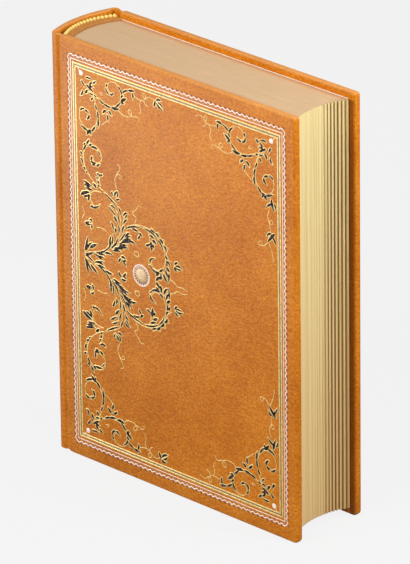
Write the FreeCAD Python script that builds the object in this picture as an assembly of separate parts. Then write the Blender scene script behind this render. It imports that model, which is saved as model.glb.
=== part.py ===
import FreeCAD, Part
import math
import os

# A leather-bound hardback book standing on its tail edge, with a gold-tooled front cover.
# Working axes: x runs from the spine-side edge of the boards to the fore-edge,
# y runs through the thickness from the middle of the book (front cover at minus y),
# z runs up from the tail edge. Everything is moved along x once, when it is written out.

V = FreeCAD.Vector

# Covers
cover_width = 168.0
cover_height = 240.0
book_thickness = 49.2
leather_thickness = 0.9
board_thickness = 2.5
turn_in_thickness = 0.6
turn_in_width = 15.0
corner_radius = 2.6
edge_radius = 1.2

# Endpapers, hinge cloth and the pages
pastedown_thickness = 0.2
flyleaf_thickness = 0.2
cover_clearance = 0.15
square = 4.0
mull_thickness = 0.5
mull_flap_width = 25.0
mull_end_margin = 14.0
block_spine_setback = 0.5
block_rounding = 6.2
fore_edge_hollow = 5.0
fore_edge_square = 4.3
page_gap_count = 13
page_gap_width = 0.25
page_gap_depth = 0.8

# Hollow spine
spine_reach = 10.9
spine_arc_radius = 61.2
shoulder_radius = 3.0
stiffener_thickness = 0.8
stiffener_width = 39.0

# Leather joint that each cover turns on
joint_leather = 0.5
joint_offset = 1.0
joint_depth = 0.4
joint_gap = 0.25
groove_width = 0.5

# Headbands
headband_width = 2.0
headband_height = 2.0
headband_span = 38.0
headband_overhang = 0.5

# Tooling on the front cover: the foil is laid on the leather in two thin layers
foil_thickness = 0.06
border_inset_side = 5.5
border_inset_end = 8.2
tooth_pitch = 3.5
tooth_height = 0.8
toothed_line_width = 0.9
inner_line_gap = 0.9
inner_line_width = 0.5
fillet_inset_side = 9.7
fillet_inset_end = 12.2
outer_fillet_width = 0.7
inner_fillet_gap = 1.0
inner_fillet_width = 0.5
stud_diameter = 2.8
stud_inset_side = 15.5
stud_inset_end = 17.4
rosette_diameter = 12.8
rosette_rim_width = 0.8
rosette_petal_count = 18
rosette_petal_width = 0.9
rosette_petal_length = 2.2
rosette_petal_gap = 0.3
rosette_place = 56.6
stem_width = 0.8
tendril_width = 0.4
stem_taper = 0.5
curve_steps = 3

# Half a leaf's outline, as shares of its length and of half its width
LEAF_OUTLINE = [(0.32, 1.0), (0.68, 0.72)]

# Heights and places that follow from the sizes above
cover_thickness = leather_thickness + board_thickness + turn_in_thickness
front_face = -book_thickness / 2
board_outer_y = front_face + leather_thickness
board_inner_y = board_outer_y + board_thickness
pastedown_y = front_face + cover_thickness
flyleaf_y = pastedown_y + pastedown_thickness + cover_clearance
block_face_y = flyleaf_y + flyleaf_thickness
block_bottom = square
block_top = cover_height - square
block_spine_x = -block_spine_setback
block_fore_x = cover_width - fore_edge_square
hinge_x = -joint_offset
hinge_y = front_face + joint_depth
shoulder_y = front_face + 2 * joint_depth + joint_gap
groove_end_x = hinge_x - groove_width
mid_height = cover_height / 2
book_middle_x = (cover_width - spine_reach) / 2

# Scrolls of the corner ornament, as distances from the side edge and from the head or tail edge
CORNER_STEMS = [
    [(22.5, 25.5), (28, 28.4), (34, 29.8), (40, 29), (44.3, 25.3), (45.4, 20.6), (43.2, 16.8),
     (38.8, 15.4), (34.9, 17), (33.8, 20.3), (35.6, 23.1), (38.6, 22.8)],
    [(22.5, 25.5), (25.2, 31), (27, 37), (26.4, 42.5), (23, 46.6), (18, 47.6), (13.8, 45.3),
     (12.2, 41), (13.6, 37.2), (17.2, 36), (20, 38.2), (19.4, 41.3)],
    [(45.4, 20.6), (49, 17.8), (54, 17.2)],
]
CORNER_TENDRILS = [
    [(42, 30.6), (46, 32.8), (50, 31.2), (49.6, 28.4), (47.6, 29.6), (51, 31.6), (56, 32.6)],
    [(54, 19.6), (57.5, 20.4), (61, 19), (63.4, 16.6), (60.8, 15.8), (62, 18.4), (66, 16.4), (68.6, 17.6)],
    [(33.6, 38.4), (32, 41), (29, 42.6)],
]
CORNER_LEAVES = [
    ((22, 26), (25.4, 18.6), 3.4), ((22, 25), (17, 18.8), 3.2), ((21, 26), (14.2, 28.8), 2.6),
    ((33, 30.6), (42, 30), 1.8), ((43.4, 26.8), (48.2, 21.4), 2.8), ((45.6, 20.8), (42, 16.2), 1.8),
    ((47, 19), (54, 16.8), 2.2), ((35.8, 23.6), (33.2, 18.8), 1.6), ((34.4, 32), (33.6, 38.2), 2.2),
    ((34.2, 33), (30.4, 35.2), 1.8), ((34.2, 33), (37, 35.4), 1.8), ((25.4, 31), (27.6, 38.4), 1.9),
    ((27, 38.6), (25.4, 45.2), 2), ((22.8, 46.2), (18.2, 51.2), 2.8), ((16, 47.2), (12.2, 44.6), 1.6),
    ((13.8, 36.8), (19.8, 39.4), 1.6),
]
HEAD_LEAVES = [((67.4, 17.4), (74, 21), 2.8), ((69, 18.2), (72.4, 16.2), 1.8), ((69, 18.6), (70.8, 22.2), 1.8)]
FORE_EDGE_STEMS = [[(17, 47.4), (14.6, 50), (14, 53)]]
FORE_EDGE_TENDRILS = [
    [(16.4, 56), (17.4, 60), (15.4, 63.4), (13.8, 62.2), (15.4, 61.2), (15.8, 66), (15.4, 70)],
    [(17.4, 73.8), (20.6, 76.8), (23.8, 76.6), (22.6, 74.6), (21.4, 77)],
    [(16.8, 74), (14.6, 79), (13.6, 84)],
]
FORE_EDGE_LEAVES = [
    ((14.6, 49.4), (13.2, 55.4), 2.6), ((14.4, 52), (18.4, 54.8), 1.8),
    ((12.8, 68.4), (17.6, 73.8), 2.4), ((14.6, 70.2), (11.8, 73.8), 1.6),
]

# Scrolls of the spine-side ornament, as distances from the side edge and above the middle height
CENTRE_STEMS = [
    [(27, 41), (22.5, 43.8), (18.5, 48), (15.8, 53.5), (16, 58.5), (18.6, 62.6), (22.5, 64),
     (26.8, 62.4), (28.8, 58.4), (27.4, 54.8), (23.8, 53.3), (21.6, 55.2)],
    [(27, 41), (32, 38.6), (37, 35.5), (40.4, 31), (41.5, 26), (41, 20), (38, 14.5), (33, 9.5),
     (27, 5.5), (21, 2.6), (15, 1)],
    [(24, 40), (20.5, 37.5), (20, 33.5), (22, 30.3), (25.2, 30.4), (26.6, 33)],
    [(41, 22), (45, 25), (50, 27.2), (56, 28.1), (62, 27.6), (68, 25), (72.6, 20.8), (75.4, 15.4),
     (75.8, 10), (73.4, 6.6), (69.4, 5.6), (65.6, 7.4), (63.9, 10.6), (65, 13.2)],
]
CENTRE_TENDRILS = [
    [(38.6, 43.5), (38.6, 48.5), (40.6, 52), (43, 51.6), (41.4, 50), (40.8, 53), (41.6, 56.4), (39, 57.4)],
    [(51.6, 28.4), (53, 31.6), (50.8, 34.4), (52.6, 35.8), (54.4, 37.4), (56, 39.6), (58, 38.6)],
    [(76.6, 4.2), (82, 5), (86, 4), (87, 1.6), (84, 1.4), (86, 3), (90.4, 0.8)],
]
CENTRE_LEAVES = [
    ((19.6, 62.4), (19.8, 67), 2.2), ((17.4, 61.6), (14.2, 55.8), 2), ((15.8, 56), (14.8, 49.2), 2),
    ((22.6, 63.8), (27, 62.4), 1.6), ((21.2, 57.2), (24.8, 52.8), 2), ((24.4, 41), (14.6, 42.8), 3),
    ((23.6, 40.4), (12.4, 33.2), 3.6), ((22.4, 39), (18.2, 30.2), 2.6), ((26.4, 41.2), (28.8, 49.4), 2.6),
    ((35.8, 37.6), (41.2, 43), 2.8), ((40.6, 30.5), (33, 34.2), 2.8), ((41.2, 26), (36.4, 30.8), 2.6),
    ((41, 21), (35.2, 24.2), 2.4), ((38.8, 15.8), (34.2, 19.8), 2.6), ((41.4, 27), (47, 33.4), 3),
    ((40.8, 18), (49.4, 22.6), 2.8), ((39.4, 15.4), (52.6, 17.4), 3), ((37.4, 13), (47.6, 13.6), 2.8),
    ((34, 10), (42.2, 9.8), 2.4), ((28, 5.8), (35.4, 6), 2.2), ((16.4, 1.8), (15.4, 11.8), 2.8),
    ((17.6, 2.2), (24, 8.2), 2.8), ((64.6, 26.6), (70.4, 27.8), 2), ((69.2, 24.2), (74.2, 24.4), 2),
    ((72.6, 20.8), (76.8, 20), 2), ((62.6, 24.2), (64.8, 16.4), 3.4), ((50.6, 26.8), (57.6, 22.4), 2.2),
    ((75.8, 11), (77, 2.6), 3), ((73.6, 7.6), (71, 0.9), 3), ((63.8, 8.4), (64.8, 13.6), 1.8),
    ((81, 12.6), (86.8, 12), 2.8), ((21.2, 18.2), (15.8, 19.4), 2.4), ((20.8, 17.6), (20.4, 21.8), 1.8),
    ((45.8, 3), (40.4, 5.8), 2.4), ((43.8, 3.6), (44.8, 7.6), 1.8),
]


def box(x0, x1, y0, y1, z0, z1):
    """A plain block between two opposite corners."""
    return Part.makeBox(x1 - x0, y1 - y0, z1 - z0, V(x0, y0, z0))


def to_back(shape):
    """The same piece of the back cover, mirrored in the middle of the book."""
    return shape.mirror(V(0, 0, 0), V(0, 1, 0))


def round_corners(block, radius):
    """Round the four corners of an upright panel, seen from the front."""
    depth = block.BoundBox.YLength
    across = [e for e in block.Edges if abs(e.BoundBox.YLength - depth) < 1e-6]
    return block.makeFillet(radius, across)


def round_faces(panel, radius):
    """Round both rims of an upright panel."""
    rims = [e for e in panel.Edges if e.BoundBox.YLength < 1e-6]
    return panel.makeFillet(radius, rims)


def cover_board():
    """The stiff board inside one cover."""
    panel = box(leather_thickness, cover_width - leather_thickness, board_outer_y, board_inner_y,
                leather_thickness, cover_height - leather_thickness)
    return round_corners(panel, corner_radius - leather_thickness)


def cover_window():
    """The recess between the turned-in edges, open on the spine side."""
    return box(-leather_thickness, cover_width - turn_in_width, board_inner_y, pastedown_y,
               turn_in_width, cover_height - turn_in_width)


def cover_leather():
    """The leather over one board, turned in at head, tail and fore-edge, with its joint strip."""
    skin = box(0, cover_width, front_face, pastedown_y, 0, cover_height)
    skin = round_faces(round_corners(skin, corner_radius), edge_radius)
    strip_y = hinge_y - joint_leather / 2
    strip = box(hinge_x, edge_radius, strip_y, strip_y + joint_leather, corner_radius,
                cover_height - corner_radius)
    knuckle = Part.makeCylinder(joint_leather / 2, cover_height - 2 * corner_radius,
                                V(hinge_x, hinge_y, corner_radius))
    return skin.fuse([strip, knuckle]).cut([cover_board(), cover_window()]).removeSplitter()


def cover_infill():
    """The card that levels the inside of the board."""
    return box(mull_flap_width, cover_width - turn_in_width, board_inner_y, pastedown_y,
               turn_in_width, cover_height - turn_in_width)


def cover_mull_flap():
    """The hinge cloth glued to the inside of the board."""
    return box(0, mull_flap_width, board_inner_y, pastedown_y,
               turn_in_width, cover_height - turn_in_width)


def pastedown():
    """The endpaper glued over the inside of the cover."""
    return box(edge_radius, block_fore_x, pastedown_y, pastedown_y + pastedown_thickness,
               block_bottom, block_top)


def flyleaf():
    """The free endpaper beside the pages."""
    return box(block_spine_x, block_fore_x, flyleaf_y, block_face_y, block_bottom, block_top)


def upright(edges, bottom, top):
    """Raise a closed plan outline to a solid."""
    face = Part.Face(Part.Wire(edges))
    face.translate(V(0, 0, bottom))
    return face.extrude(V(0, 0, top - bottom))


def line(a, b):
    return Part.LineSegment(a, b).toShape()


def arc(a, middle, b):
    return Part.Arc(a, middle, b).toShape()


def text_block():
    """The sewn pages as one solid, rounded at the spine and hollow at the fore-edge."""
    spine_front = V(block_spine_x, block_face_y, 0)
    spine_back = V(block_spine_x, -block_face_y, 0)
    fore_front = V(block_fore_x, block_face_y, 0)
    fore_back = V(block_fore_x, -block_face_y, 0)
    edges = [
        line(spine_front, fore_front),
        arc(fore_front, V(block_fore_x - fore_edge_hollow, 0, 0), fore_back),
        line(fore_back, spine_back),
        arc(spine_back, V(block_spine_x - block_rounding, 0, 0), spine_front),
    ]
    pages = upright(edges, block_bottom, block_top)
    return pages.cut(page_gaps())


def page_gaps():
    """Fine upright gaps between gatherings of pages at the fore-edge."""
    half = -block_face_y
    hollow_radius = (half ** 2 + fore_edge_hollow ** 2) / (2 * fore_edge_hollow)
    centre_x = block_fore_x - fore_edge_hollow + hollow_radius
    gaps = []
    for i in range(page_gap_count):
        y = half * (2 * (i + 1) / (page_gap_count + 1) - 1)
        surface_x = centre_x - math.sqrt(hollow_radius ** 2 - y ** 2)
        gaps.append(box(surface_x - page_gap_depth, block_fore_x, y - page_gap_width / 2,
                        y + page_gap_width / 2, block_bottom, block_top))
    return gaps


def block_arc_radius():
    """Radius of the rounded spine of the pages."""
    return (block_face_y ** 2 + block_rounding ** 2) / (2 * block_rounding)


def spine_mull():
    """The hinge cloth glued round the spine of the pages."""
    radius = block_arc_radius()
    centre_x = block_spine_x - block_rounding + radius
    outer = radius + mull_thickness
    reach_x = centre_x - math.sqrt(outer ** 2 - block_face_y ** 2)
    edges = [
        arc(V(block_spine_x, block_face_y, 0), V(centre_x - radius, 0, 0), V(block_spine_x, -block_face_y, 0)),
        line(V(block_spine_x, -block_face_y, 0), V(reach_x, -block_face_y, 0)),
        arc(V(reach_x, -block_face_y, 0), V(centre_x - outer, 0, 0), V(reach_x, block_face_y, 0)),
        line(V(reach_x, block_face_y, 0), V(block_spine_x, block_face_y, 0)),
    ]
    return upright(edges, mull_end_margin, cover_height - mull_end_margin)


def headband():
    """The wound band at the head of the spine: flat below and round on top."""
    radius = block_arc_radius()
    centre_x = block_spine_x - block_rounding + radius
    outer_x = centre_x - radius - headband_overhang
    inner_x = outer_x + headband_width
    straight = block_top + headband_height - headband_width / 2
    edges = [
        line(V(outer_x, 0, block_top), V(inner_x, 0, block_top)),
        line(V(inner_x, 0, block_top), V(inner_x, 0, straight)),
        arc(V(inner_x, 0, straight), V((outer_x + inner_x) / 2, 0, block_top + headband_height),
            V(outer_x, 0, straight)),
        line(V(outer_x, 0, straight), V(outer_x, 0, block_top)),
    ]
    section = Part.Face(Part.Wire(edges))
    half_turn = math.degrees(math.asin(headband_span / 2 / radius))
    section.rotate(V(centre_x, 0, 0), V(0, 0, 1), -half_turn)
    return section.revolve(V(centre_x, 0, 0), V(0, 0, 1), 2 * half_turn)


def tailband():
    """The same band at the tail of the spine."""
    return headband().mirror(V(0, 0, mid_height), V(0, 0, 1))


def spine_profile(depth):
    """Edges of the spine's plan outline, a given depth under its outer face, front to back."""
    arc_centre_x = spine_arc_radius - spine_reach
    reach = spine_arc_radius - shoulder_radius
    turn_y = shoulder_y + shoulder_radius
    turn_x = arc_centre_x - math.sqrt(reach ** 2 - turn_y ** 2)
    lean = math.atan2(-turn_y, arc_centre_x - turn_x)
    radius = shoulder_radius - depth
    start = V(groove_end_x, shoulder_y + depth, 0)
    flat_end = V(turn_x, shoulder_y + depth, 0)
    middle_angle = (math.pi / 2 + lean) / 2
    turn_middle = V(turn_x - radius * math.cos(middle_angle), turn_y - radius * math.sin(middle_angle), 0)
    turn_end = V(turn_x - radius * math.cos(lean), turn_y - radius * math.sin(lean), 0)
    back = [V(p.x, -p.y, 0) for p in (start, flat_end, turn_middle, turn_end)]
    return [
        line(start, flat_end),
        arc(flat_end, turn_middle, turn_end),
        arc(turn_end, V(depth - spine_reach, 0, 0), back[3]),
        arc(back[3], back[2], back[1]),
        line(back[1], back[0]),
    ]


def spine_layer(depth_from, depth_to, bottom, top):
    """A layer of the hollow spine between two depths under its outer face."""
    start_y = shoulder_y
    ends = [
        line(V(groove_end_x, start_y + depth_from, 0), V(groove_end_x, start_y + depth_to, 0)),
        line(V(groove_end_x, -start_y - depth_from, 0), V(groove_end_x, -start_y - depth_to, 0)),
    ]
    edges = spine_profile(depth_from) + spine_profile(depth_to) + ends
    return upright(Part.sortEdges(edges)[0], bottom, top)


def spine_middle(half_width, bottom, top):
    """The part of the spine between its two shoulders."""
    return box(-spine_reach, 0, -half_width, half_width, bottom, top)


def spine_stiffener():
    """The card that shapes the hollow spine."""
    layer = spine_layer(leather_thickness, leather_thickness + stiffener_thickness,
                        leather_thickness, cover_height - leather_thickness)
    return layer.common(spine_middle(stiffener_width / 2, 0, cover_height))


def spine_leather():
    """The leather of the spine, turned in over the stiffener at head and tail."""
    turned_depth = leather_thickness + stiffener_thickness + turn_in_thickness
    turned_half = stiffener_width / 2 + turn_in_thickness
    skin = spine_layer(0, leather_thickness, 0, cover_height)
    turn_ins = []
    for bottom in (0, cover_height - turn_in_width):
        layer = spine_layer(0, turned_depth, bottom, bottom + turn_in_width)
        turn_ins.append(layer.common(spine_middle(turned_half, bottom, bottom + turn_in_width)))
    return skin.fuse(turn_ins).cut(spine_stiffener()).removeSplitter()


def rectangle(inset_side, inset_end):
    """Corners of a rectangle on the front cover, inset from the edges of the board."""
    left = inset_side
    right = cover_width - inset_side
    low = inset_end
    high = cover_height - inset_end
    return [V(left, 0, low), V(right, 0, low), V(right, 0, high), V(left, 0, high)]


def outline_face(points):
    """A flat face on the cover inside a closed outline of points."""
    return Part.Face(Part.makePolygon(points + [points[0]]))


def frame_face(inset_side, inset_end, width):
    """A plain line that runs round the cover."""
    outside = outline_face(rectangle(inset_side, inset_end))
    return outside.cut(outline_face(rectangle(inset_side + width, inset_end + width)))


def toothed_points(start, end, outward):
    """Points of a zigzag from one corner to the next, with its teeth pointing outward."""
    run = end - start
    count = max(1, round(run.Length / tooth_pitch))
    step = run * (1 / count)
    points = []
    for i in range(count):
        points.append(start + step * i)
        points.append(start + step * (i + 0.5) + outward * tooth_height)
    return points


def toothed_face():
    """The toothed line round the cover."""
    corners = rectangle(border_inset_side, border_inset_end)
    sides = [V(0, 0, -1), V(1, 0, 0), V(0, 0, 1), V(-1, 0, 0)]
    points = []
    for i, outward in enumerate(sides):
        points += toothed_points(corners[i], corners[(i + 1) % 4], outward)
    inside = rectangle(border_inset_side + toothed_line_width, border_inset_end + toothed_line_width)
    return outline_face(points).cut(outline_face(inside))


def disc_face(x, z, diameter):
    """A round spot on the cover."""
    return Part.Face(Part.Wire(Part.makeCircle(diameter / 2, V(x, 0, z), V(0, 1, 0))))


def strip_faces(points, width):
    """A band of foil along a smooth curve through points, narrowing to its end, in short lengths."""
    curve = Part.BSplineCurve()
    curve.interpolate(points)
    count = curve_steps * (len(points) - 1)
    first, last = curve.FirstParameter, curve.LastParameter
    left = []
    right = []
    for i in range(count + 1):
        t = first + (last - first) * i / count
        along = curve.tangent(t)[0]
        side = V(-along.z, 0, along.x) * (width / 2 * (1 - stem_taper * i / count))
        left.append(curve.value(t) + side)
        right.append(curve.value(t) - side)
    return [outline_face(left[i:i + curve_steps + 1] + right[i:i + curve_steps + 1][::-1])
            for i in range(0, count, curve_steps)]


def leaf_face(base, tip, width):
    """A pointed leaf, widest a third of the way up."""
    along = tip - base
    side = V(-along.z, 0, along.x).normalize() * (width / 2)
    left = [base + along * up + side * out for up, out in LEAF_OUTLINE]
    right = [base + along * up - side * out for up, out in LEAF_OUTLINE]
    return outline_face([base] + left + [tip] + right[::-1])


def at_corner(point, side, end):
    """A place given from the side and head edges, put at one of the four corners."""
    x = point[0] if side < 0 else cover_width - point[0]
    z = point[1] if end < 0 else cover_height - point[1]
    return V(x, 0, z)


def at_centre(point, way):
    """A place given from the spine-side edge and the middle height, above or below it."""
    return V(point[0], 0, mid_height + way * point[1])


def placed(stems, leaves, place, *where):
    """Stems as lists of places and leaves as places and widths."""
    routes = [[place(p, *where) for p in stem] for stem in stems]
    shapes = [(place(base, *where), place(tip, *where), width) for base, tip, width in leaves]
    return routes, shapes


def ornament():
    """Routes of all the stems and tendrils, and all the leaves, on the whole cover."""
    stems = []
    tendrils = []
    leaves = []
    for end in (-1, 1):
        stem_part, leaf_part = placed(CENTRE_STEMS, CENTRE_LEAVES, at_centre, end)
        stems += stem_part
        leaves += leaf_part
        tendrils += placed(CENTRE_TENDRILS, [], at_centre, end)[0]
        leaves += placed([], HEAD_LEAVES, at_corner, -1, end)[1]
        stem_part, leaf_part = placed(FORE_EDGE_STEMS, FORE_EDGE_LEAVES, at_corner, 1, end)
        stems += stem_part
        leaves += leaf_part
        tendrils += placed(FORE_EDGE_TENDRILS, [], at_corner, 1, end)[0]
        for side in (-1, 1):
            stem_part, leaf_part = placed(CORNER_STEMS, CORNER_LEAVES, at_corner, side, end)
            stems += stem_part
            leaves += leaf_part
            tendrils += placed(CORNER_TENDRILS, [], at_corner, side, end)[0]
    return stems, tendrils, leaves


def foil(faces, layer=0):
    """Flat faces raised and joined to thin foil, in the first or second layer on the front cover."""
    raised = [face.extrude(V(0, -foil_thickness, 0)) for face in faces]
    joined = raised[0].fuse(raised[1:]).removeSplitter()
    joined.translate(V(0, front_face - layer * foil_thickness, 0))
    return joined


def rosette():
    """The round medallion: a disc with a rim and a ring of petals."""
    disc = foil([disc_face(rosette_place, mid_height, rosette_diameter)])
    rim = disc_face(rosette_place, mid_height, rosette_diameter).cut(
        disc_face(rosette_place, mid_height, rosette_diameter - 2 * rosette_rim_width))
    centre = V(rosette_place, 0, mid_height)
    outer = rosette_diameter / 2 - rosette_rim_width - rosette_petal_gap
    petals = [rim]
    for i in range(rosette_petal_count):
        angle = 2 * math.pi * i / rosette_petal_count
        ray = V(math.cos(angle), 0, math.sin(angle))
        petals.append(leaf_face(centre + ray * (outer - rosette_petal_length), centre + ray * outer,
                                rosette_petal_width))
    return disc.fuse(foil(petals, layer=1)).removeSplitter()


def corner_studs():
    """The four small discs inside the corners of the border."""
    return [disc_face(x, z, stud_diameter)
            for x in (stud_inset_side, cover_width - stud_inset_side)
            for z in (stud_inset_end, cover_height - stud_inset_end)]


def write(name, shape):
    """Write one piece in the book's own frame."""
    moved = shape.copy()
    moved.translate(V(-book_middle_x, 0, 0))
    moved.exportStep("parts/" + name + ".step")


def main():
    os.makedirs("parts", exist_ok=True)
    in_covers = {
        "board": cover_board(),
        "board_infill": cover_infill(),
        "cover_leather": cover_leather(),
        "pastedown": pastedown(),
        "flyleaf": flyleaf(),
        "mull_flap": cover_mull_flap(),
    }
    for name, shape in in_covers.items():
        write("front_" + name, shape)
        write("back_" + name, to_back(shape))
    write("text_block", text_block())
    write("spine_mull", spine_mull())
    write("spine_stiffener", spine_stiffener())
    write("spine_leather", spine_leather())
    write("head_band", headband())
    write("tail_band", tailband())
    stems, tendrils, leaves = ornament()
    inner_line_inset = toothed_line_width + inner_line_gap
    inner_fillet_inset = outer_fillet_width + inner_fillet_gap
    write("toothed_border", foil([toothed_face()]))
    write("border_line", foil([frame_face(border_inset_side + inner_line_inset,
                                          border_inset_end + inner_line_inset, inner_line_width)]))
    write("outer_fillet", foil([frame_face(fillet_inset_side, fillet_inset_end, outer_fillet_width)]))
    write("inner_fillet", foil([frame_face(fillet_inset_side + inner_fillet_inset,
                                           fillet_inset_end + inner_fillet_inset, inner_fillet_width)]))
    write("corner_studs", foil(corner_studs()))
    write("scroll_stems", foil([face for route in stems for face in strip_faces(route, stem_width)]))
    write("scroll_tendrils", foil([face for route in tendrils for face in strip_faces(route, tendril_width)]))
    write("scroll_leaves", foil([leaf_face(*leaf) for leaf in leaves], layer=1))
    write("rosette", rosette())


main()
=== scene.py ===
"""A leather-bound hardback book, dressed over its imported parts: case, spine, pages and gold tooling."""
import bmesh
import bpy
import math
import random
from mathutils import Matrix, Vector


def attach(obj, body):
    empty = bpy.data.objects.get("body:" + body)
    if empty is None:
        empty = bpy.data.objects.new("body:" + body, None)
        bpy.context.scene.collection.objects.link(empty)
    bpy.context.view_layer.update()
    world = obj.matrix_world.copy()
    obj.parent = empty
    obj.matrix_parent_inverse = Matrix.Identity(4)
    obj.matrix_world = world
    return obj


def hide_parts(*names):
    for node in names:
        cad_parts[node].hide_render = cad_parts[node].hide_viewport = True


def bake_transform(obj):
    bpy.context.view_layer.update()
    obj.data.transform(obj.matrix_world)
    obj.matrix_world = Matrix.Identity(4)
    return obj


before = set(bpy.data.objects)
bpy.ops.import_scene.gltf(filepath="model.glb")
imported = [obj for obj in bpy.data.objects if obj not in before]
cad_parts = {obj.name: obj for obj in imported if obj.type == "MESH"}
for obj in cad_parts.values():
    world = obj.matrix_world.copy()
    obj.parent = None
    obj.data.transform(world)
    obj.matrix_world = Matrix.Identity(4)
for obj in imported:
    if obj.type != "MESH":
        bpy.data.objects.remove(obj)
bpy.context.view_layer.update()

MM = 0.001
MIDDLE_X = 78.55

# Sizes of the book in millimetres: x from the spine-side edge of the boards, y from the middle
# of the thickness (front at minus y), z from the tail. The photograph's boards reach a little past
# that edge, and its tooling lies a little off the middle of the cover
COVER_WIDTH = 168.0
BOARD_START = -1.8
TOOLED_WIDTH = 166.0
COVER_HEIGHT = 240.0
FACE = 24.6
LEATHER = 0.9
BOARD_FACE = 23.7
BOARD_BACK = 21.2
LINING_FACE = 20.6
TURN_IN = 15.0
EDGE_ROUND = 1.2
INNER_EDGE_ROUND = 0.9
SQUARE = 4.0
BLOCK_FACE = 20.05
BLOCK_SPINE = -0.5
BLOCK_FORE = 163.7
BLOCK_ROUNDING = 6.2
FORE_HOLLOW = 5.0
SPINE_REACH = 10.9
SPINE_RADIUS = 61.2
SPINE_CENTRE = SPINE_RADIUS - SPINE_REACH
SHOULDER_DEPTH = 0.75
SHOULDER_ROUND = 3.0
SPINE_RIM = 3.0
CARD_INSIDE = 1.6
CARD_THICKNESS = 0.8
CARD_HALF_WIDTH = 19.0
CARD_SHORT = 1.5
JOINT_WIDTH = 2.2
MIDDLE = COVER_HEIGHT / 2


def at(x, y, z):
    """A point in the book's frame, in metres."""
    return Vector((x - MIDDLE_X, y, z)) * MM


def local(point):
    """A place in metres, given back in millimetres from the boards' spine-side edge."""
    return Vector((point.x / MM + MIDDLE_X, point.y / MM, point.z / MM))


# Modelling by hand

def rest():
    """Leave edit mode with nothing selected."""
    if bpy.context.object and bpy.context.object.mode == "EDIT":
        bpy.ops.object.mode_set(mode="OBJECT")
    bpy.ops.object.select_all(action="DESELECT")


def take(*pieces):
    """Select these pieces, the last one active."""
    rest()
    for piece in pieces:
        piece.select_set(True)
    bpy.context.view_layer.objects.active = pieces[-1]


def named(name):
    """Name the new piece and settle its place into its mesh."""
    piece = bpy.context.object
    piece.name = name
    piece.data.name = name
    bpy.ops.object.transform_apply(location=True, rotation=True, scale=True)
    return piece


def block(name, low, high):
    """A block between two corners, to start from."""
    rest()
    size = high - low
    bpy.ops.mesh.primitive_cube_add(size=1, location=(low + high) / 2,
                                    scale=(abs(size.x), abs(size.y), abs(size.z)))
    return named(name)


def pick(piece, kind, test):
    """In edit mode, select only the vertices, edges or faces that pass a test."""
    if piece.mode != "EDIT":
        take(piece)
        bpy.ops.object.mode_set(mode="EDIT")
    bpy.ops.mesh.select_mode(type=kind)
    bpy.ops.mesh.select_all(action="DESELECT")
    shape = bmesh.from_edit_mesh(piece.data)
    items = {"VERT": shape.verts, "EDGE": shape.edges, "FACE": shape.faces}[kind]
    for item in items:
        if test(item):
            item.select_set(True)
    shape.select_flush_mode()
    bmesh.update_edit_mesh(piece.data)


def middle_of(edge):
    return local((edge.verts[0].co + edge.verts[1].co) / 2)


def run_of(edge):
    return (edge.verts[1].co - edge.verts[0].co).normalized()


def modify(piece, kind, **settings):
    """Add a modifier with its settings and apply it."""
    take(piece)
    modifier = piece.modifiers.new(kind.title(), kind)
    for key, value in settings.items():
        setattr(modifier, key, value)
    bpy.ops.object.modifier_apply(modifier=modifier.name)


def cut(piece, tool):
    """Take the tool's shape out of a piece."""
    modify(piece, "BOOLEAN", operation="DIFFERENCE", solver="EXACT", object=tool)
    bpy.data.objects.remove(tool)


def outward(piece):
    """Merge what touches and turn the faces outwards."""
    take(piece)
    bpy.ops.object.mode_set(mode="EDIT")
    bpy.ops.mesh.select_all(action="SELECT")
    bpy.ops.mesh.remove_doubles(threshold=1e-6)
    bpy.ops.mesh.normals_make_consistent(inside=False)
    bpy.ops.object.mode_set(mode="OBJECT")


def smooth(piece, angle=35):
    take(piece)
    bpy.ops.object.shade_smooth_by_angle(angle=math.radians(angle))


def another(piece):
    """A copy of a piece, with its own mesh."""
    twin = piece.copy()
    twin.data = piece.data.copy()
    bpy.context.scene.collection.objects.link(twin)
    return twin


def join(name, pieces):
    take(*pieces)
    if len(pieces) > 1:
        bpy.ops.object.join()
    piece = bpy.context.object
    piece.name = name
    piece.data.name = name
    return piece


def sheet(name, plan, bottom, top):
    """An upright sheet that follows points in plan, drawn out from its first strip."""
    rest()
    first, second = plan[0], plan[1]
    bpy.ops.mesh.primitive_plane_add(size=1)
    piece = named(name)
    corners = [at(*first, bottom), at(*second, bottom), at(*first, top), at(*second, top)]
    for vertex, corner in zip(piece.data.vertices, corners):
        vertex.co = corner
    end = at(*second, 0)
    pick(piece, "EDGE", lambda e: all((v.co - end).xy.length < 1e-7 for v in e.verts))
    for here, there in zip(plan[1:], plan[2:]):
        bpy.ops.mesh.extrude_region_move(TRANSFORM_OT_translate={"value": at(*there, 0) - at(*here, 0)})
    bpy.ops.object.mode_set(mode="OBJECT")
    return piece


def slice_at(piece, heights):
    """Cut rows across an upright piece at some heights."""
    take(piece)
    bpy.ops.object.mode_set(mode="EDIT")
    for z in heights:
        bpy.ops.mesh.select_all(action="SELECT")
        bpy.ops.mesh.bisect(plane_co=(0, 0, z * MM), plane_no=(0, 0, 1))
    bpy.ops.object.mode_set(mode="OBJECT")


# Finishes

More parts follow.
